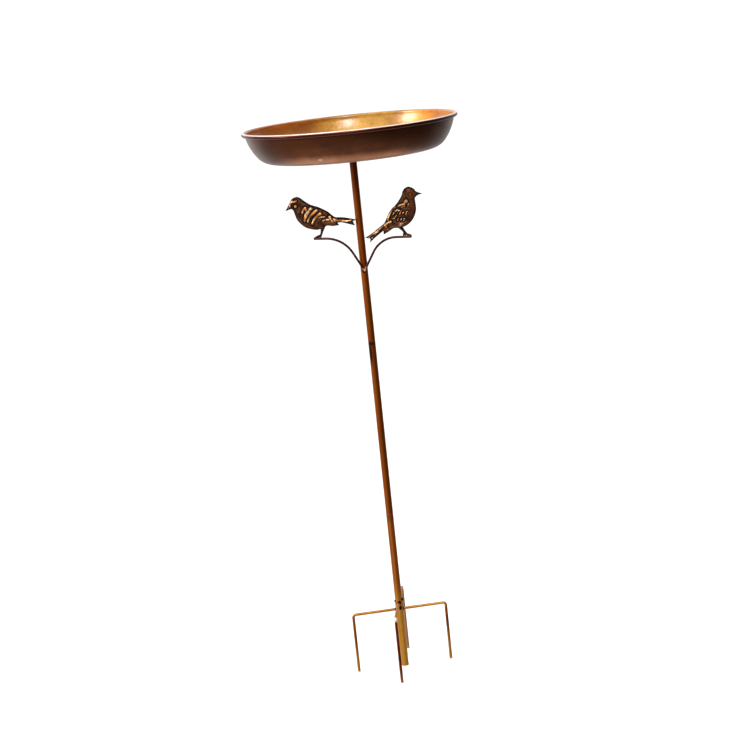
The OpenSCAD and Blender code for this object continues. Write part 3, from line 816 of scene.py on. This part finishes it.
def relief_height(points, loop, relief, eye):
    """Height, rubbed shine and painted shade along the edge of a pressed half at each point."""
    rim = distance_to_segments(points, loop, np.roll(loop, -1, axis=0))
    rise = np.clip(rim / FACE_RUN, 0, 1)
    height = FACE_EDGE + FACE_RISE * np.sqrt(1 - (1 - rise) ** 2)
    shine = np.full(len(points), PLAIN_SHINE)
    recess = np.zeros(len(points))
    domes = np.zeros(len(points))
    for number, (start, end, width, rubbed) in enumerate(relief):
        curve = feather_curve(start, end)
        away = distance_to_segments(points, curve[:-1], curve[1:])
        run = curve[-1] - curve[0]
        along = np.clip((points - curve[0]) @ run / (run @ run), 0, 1)
        half_width = width / 2 * (1.1 - 0.45 * along)
        dome = np.sqrt(1 - (1 - np.clip(1 - away / half_width, 0, 1)) ** 2)
        height += FEATHER_RISE * dome * np.clip(rim / 1.5, 0, 1)
        tone = 0.72 + 0.28 * np.cos(along * 7 + number * 2.4)
        shine = np.maximum(shine, rubbed * tone * dome)
        domes = np.maximum(domes, dome)
        recess = np.maximum(recess, (rubbed > 0.5) * np.clip(1.75 - away / (half_width + 0.7), 0, 1))
    shine -= RECESS_DARKENING * recess * (1 - domes) ** 2
    height -= RECESS_DEPTH * recess * (1 - domes) * np.clip(rim / 3, 0, 1)
    height, shine = press_eye(points, eye, height, shine)
    height = np.clip(height, 0.5, BIRD_DEPTH + 0.6)
    rubbed_through = 0.85 * np.clip(shine * 1.3, 0, 1) * np.clip(rim / 0.6 - 0.8, 0, 1)
    # painted shade along the outline, lighter where the relief is rubbed through
    edge = np.clip(1.5 - rim / 1.9, 0, 1) * (1 - rubbed_through)
    return height, shine, edge


def filled_outline(loop):
    """The outline filled with small triangles: the places of their corners, and the faces."""
    low, high = loop.min(0), loop.max(0)
    across, up = (np.arange(low[k], high[k], FACE_PITCH) for k in (0, 1))
    xs, zs = np.meshgrid(across, up)
    xs[1::2] += FACE_PITCH / 2
    grid = np.column_stack([xs.ravel(), zs.ravel()])
    grid = grid[is_inside(grid, loop)]
    grid = grid[distance_to_segments(grid, loop, np.roll(loop, -1, axis=0)) > 0.3]
    corners = [Vector(p) for p in np.vstack([loop, grid])]
    around = [(i, (i + 1) % len(loop)) for i in range(len(loop))]
    points, _, faces, *_ = delaunay_2d_cdt(corners, around, [list(range(len(loop)))], 1, 1e-5)
    return np.array([tuple(p) for p in points]), faces


def shell_faces(faces, count, facing):
    """Closes a shell: the pressed face, its flat back count points further on, and the rim between."""
    turned = [tuple(reversed(f)) for f in faces]
    outer, inner = (turned, faces) if facing > 0 else (faces, turned)
    solid = list(outer) + [tuple(i + count for i in f) for f in inner]
    edges = dict.fromkeys(edge for face in outer for edge in zip(face, face[1:] + face[:1]))
    solid += [(b, a, a + count, b + count) for a, b in edges if (b, a) not in edges]
    return solid


def make_bird_half(name, foot, outline, relief, eye, facing, material):
    """One pressed half: an embossed face on facing's side of the seam and a flat back on the seam."""
    loop = smooth_outline(outline, 5)
    places, faces = filled_outline(loop)
    height, shine, edge = relief_height(places, loop, relief, eye)
    count = len(places)
    front = [foot + Vector((p[0], facing * h, p[1])) for p, h in zip(places, height)]
    seam = [foot + Vector((p[0], 0, p[1])) for p in places]
    piece = new_piece(name, front + seam, shell_faces(faces, count, facing), [material])
    # edge is painted shade along the outline, full on the flat back
    for key, values, behind in (("shine", shine, 0.0), ("edge", edge, 1.0)):
        layer = piece.data.attributes.new(key, "FLOAT", "POINT")
        both = np.concatenate([values, np.full(count, behind)])
        layer.data.foreach_set("value", both.astype(np.float32))
    sharpen(piece, 60)
    return piece


def leg(foot, hip, ankle, toes, y, material):
    """One leg: a thick thigh that tapers to the ankle, and its toes bent over the wire."""
    hip_at, ankle_at, *tips = (foot + Vector((x, y, z)) for x, z in (hip, ankle, *toes))
    steps = np.linspace(0, 1, 9)
    thigh = [hip_at.lerp(ankle_at, t) for t in steps]
    pieces = [sweep("thigh", thigh, [LEG_R + THIGH_SWELL * (1 - t) ** 2 for t in steps], 14, material)]
    for tip in tips:
        knuckle = ankle_at.lerp(tip, 0.5) + Vector((0, 0, KNUCKLE_RISE))
        path = [ankle_at.lerp(knuckle, t) for t in (0, 0.5, 1)]
        path += [knuckle.lerp(tip, t) for t in (0.5, 1)]
        pieces.append(sweep("toe", path, TOE_RADII, 12, material))
    return pieces


def make_birds(material, leg_material):
    birds = (
        ("left_bird", LEFT_FOOT, LEFT_OUTLINE, LEFT_RELIEF, LEFT_EYE, LEFT_LEGS),
        ("right_bird", RIGHT_FOOT, RIGHT_OUTLINE, RIGHT_RELIEF, RIGHT_EYE, RIGHT_LEGS),
    )
    for name, foot, outline, relief, eye, legs in birds:
        for side, facing in (("front", -1), ("back", 1)):
            half_name = f"{name}_{side}_half"
            half = make_bird_half(half_name, foot, outline, relief, eye, facing, material)
            settle(half, "upper_section", "bird_copper", f"{name}_{side}")
        parts = []
        for hip, ankle, toes, y in legs:
            parts += leg(foot, hip, ankle, toes, y, leg_material)
        settle(joined(f"{name}_leg_pair", parts), "upper_section", "wire_bronze", f"{name}_legs")


# ---------------------------------------------------------------- CAD nodes kept as they are


def finish_cad_node(node, material):
    """Gives a CAD node that stays visible its finish and a softened edge."""
    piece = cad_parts[node]
    piece.data.materials.clear()
    piece.data.materials.append(material)
    piece.data.shade_smooth()
    sharpen(piece, 30)


# ---------------------------------------------------------------- stage

FLOOR_REACH = 60000.0
ROOM_GLOW = 0.13  # what the metal sees in every direction
BACKDROP_GLOW = 1.2  # how bright the room looks to everything else
CAMERA_PLACE = (-0.0003, -2.3764, 0.8602)  # in metres
CAMERA_DOWN = math.radians(12.28)
CAMERA_ROLL = math.radians(5.94)


def area_light(name, place, aim, size, power, colour=(1, 1, 1)):
    light = bpy.data.lights.new(name, "AREA")
    light.shape = "RECTANGLE"
    light.size, light.size_y = size
    light.energy = power
    light.color = colour
    lamp = bpy.data.objects.new(name, light)
    lamp.location = place
    lamp.rotation_mode = "QUATERNION"
    lamp.rotation_quaternion = (Vector(aim) - Vector(place)).to_track_quat("-Z", "Y")
    bpy.context.scene.collection.objects.link(lamp)


def make_floor(material):
    """A wide plain floor at the tips of the fork."""
    signs = ((-1, -1), (1, -1), (1, 1), (-1, 1))
    corners = [(i * FLOOR_REACH, j * FLOOR_REACH, -SPIKE_LENGTH) for i, j in signs]
    floor = new_piece("studio_floor", corners, [(0, 1, 2, 3)], [material], smooth=False)
    floor.visible_glossy = False


def make_world():
    """White room light, with a dimmer front and right side for the metal to reflect."""
    world = bpy.data.worlds.new("studio")
    bpy.context.scene.world = world
    world.use_nodes = True
    n = Nodes(world.node_tree)
    left = n.ramp(n.axis("X", "Generated"), -0.8, 0.6, 0.50, 0.0)
    behind = n.ramp(n.axis("Y", "Generated"), 0.2, 1.0, 0.0, 0.6)
    below = n.ramp(n.axis("Z", "Generated"), -0.98, -0.6, 1.1, 0.0)
    above = n.ramp(n.axis("Z", "Generated"), 0.35, 0.95, 0.0, 1.0)
    room = n.math("ADD", n.math("ADD", left, behind), n.math("ADD", below, above))
    room = n.math("ADD", room, ROOM_GLOW)
    glossy = n.node("ShaderNodeLightPath").outputs["Is Glossy Ray"]
    backdrop = n.ramp(glossy, 0.0, 1.0, BACKDROP_GLOW, 0.0)
    strength = n.math("ADD", n.math("MULTIPLY", glossy, room), backdrop)
    background = world.node_tree.nodes["Background"]
    background.inputs["Color"].default_value = (1, 1, 1, 1)
    n.link(strength, background.inputs["Strength"])


def make_lights():
    area_light("key", (-2.6, -0.6, 1.5), (0, 0, 0.5), (0.7, 1.2), 40)
    area_light("front_strip", (0.05, -2.6, 2.0), (0, 0, 0.6), (0.35, 1.2), 36)


def make_camera():
    """The photograph's view: a short telephoto a little above the rim, tilted about six degrees."""
    data = bpy.data.cameras.new("camera")
    data.lens = 85
    data.sensor_width = 36
    data.clip_end = 200
    camera = bpy.data.objects.new("camera", data)
    ahead = Vector((0, math.cos(CAMERA_DOWN), -math.sin(CAMERA_DOWN)))
    level = Vector((1, 0, 0))
    upward = level.cross(ahead)
    right = level * math.cos(CAMERA_ROLL) - upward * math.sin(CAMERA_ROLL)
    top = level * math.sin(CAMERA_ROLL) + upward * math.cos(CAMERA_ROLL)
    turn = Matrix((right, top, -ahead)).transposed()
    camera.matrix_world = Matrix.Translation(CAMERA_PLACE) @ turn.to_4x4()
    bpy.context.scene.collection.objects.link(camera)
    bpy.context.scene.camera = camera


# ---------------------------------------------------------------- build

perch_bronze = perch_material()
weld_bronze = weld_material()
zinc_steel = zinc_material()

make_dish()
make_pole(pole_material(), stake_material())
make_fork()
make_fork_welds(weld_bronze)
make_perch(perch_bronze, weld_bronze)
make_birds(bird_material(), perch_bronze)
for zinc_node in ("dish_stud", "pole_top_insert", "upper_plug", "middle_plug"):
    finish_cad_node(zinc_node, zinc_steel)
finish_cad_node("dish_boss", perch_bronze)
finish_cad_node("dish_washer", rubber_material())

make_floor(floor_material())
make_world()
make_lights()
make_camera()
bpy.context.scene.view_settings.view_transform = "Standard"
